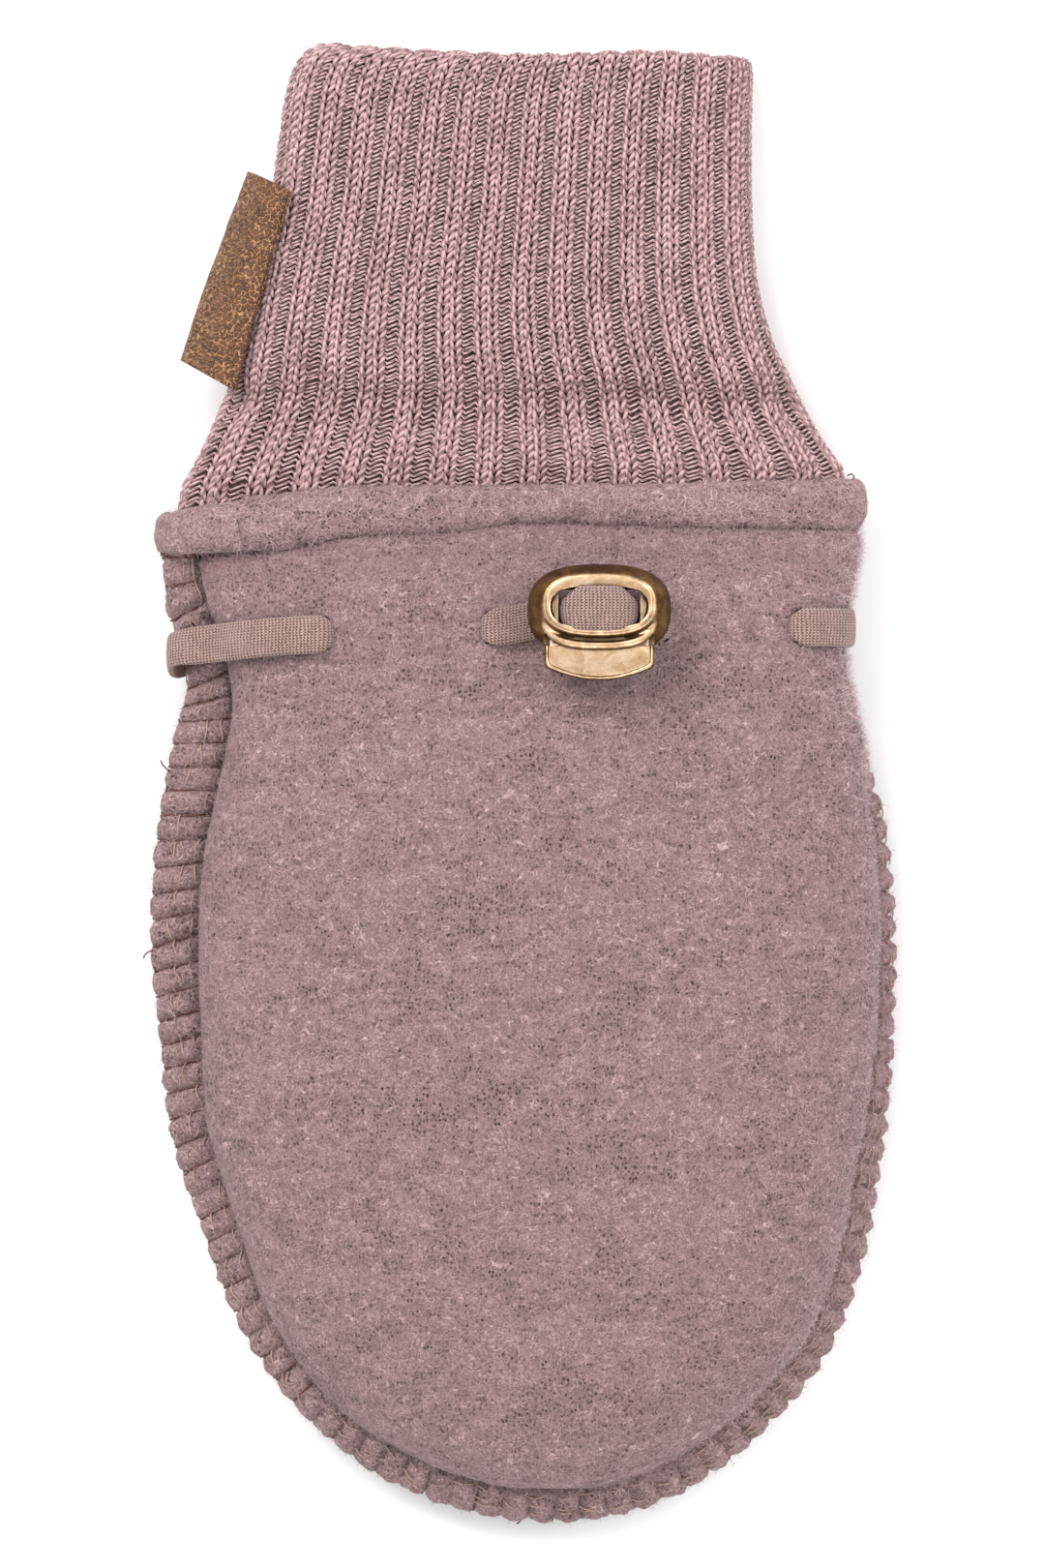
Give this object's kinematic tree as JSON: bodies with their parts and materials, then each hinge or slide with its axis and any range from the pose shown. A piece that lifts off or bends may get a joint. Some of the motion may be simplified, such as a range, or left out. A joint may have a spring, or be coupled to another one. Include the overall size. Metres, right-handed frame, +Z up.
{
  "type": "baby mitten",
  "caption": "Thumbless baby mitten of thick fleece lying on its back, with a doubled rib cuff, overlocked edge, flat wrist elastic, metal cord lock and a folded leather tab",
  "frame": {"origin": "Middle of the mitten's box, on the flat surface that its back lies on", "axes": "+X to the side that shows right when the cuff is up, +Y from the round end to the cuff, +Z up from the surface, out of the front of the mitten"},
  "size_m": [0.085, 0.1693, 0.0266],
  "materials": {
    "fleece": "brushed wool fleece, dusty rose, matt and fuzzy",
    "overlock": "fleece edges bound with mauve overlock thread",
    "rib_knit": "fine two by one rib knit, dusty rose",
    "tab_leather": "tan pebbled leather, worn lighter at the fold",
    "woven_elastic": "flat woven elastic, beige pink",
    "aged_brass": "antique brass, polished on the raised faces and dark in the hollows"
  },
  "bodies": {
    "mitten": {"front_panel": "fleece", "back_panel": "fleece", "seam_rim": "overlock", "front_top_band": "fleece", "back_top_band": "fleece", "rib_cuff": "rib_knit", "leather_tab": "tab_leather", "elastic": "woven_elastic", "lock_body": "aged_brass"},
    "lock_button": {"lock_plunger": "aged_brass"}
  },
  "joints": [
    {"name": "button_press", "type": "slide", "parent": "mitten", "child": "lock_button", "axis": [0, 1, 0], "range_m": [0, 0.0012], "stiffness_N_per_m": 2000, "springref_m": -0.002}
  ]
}
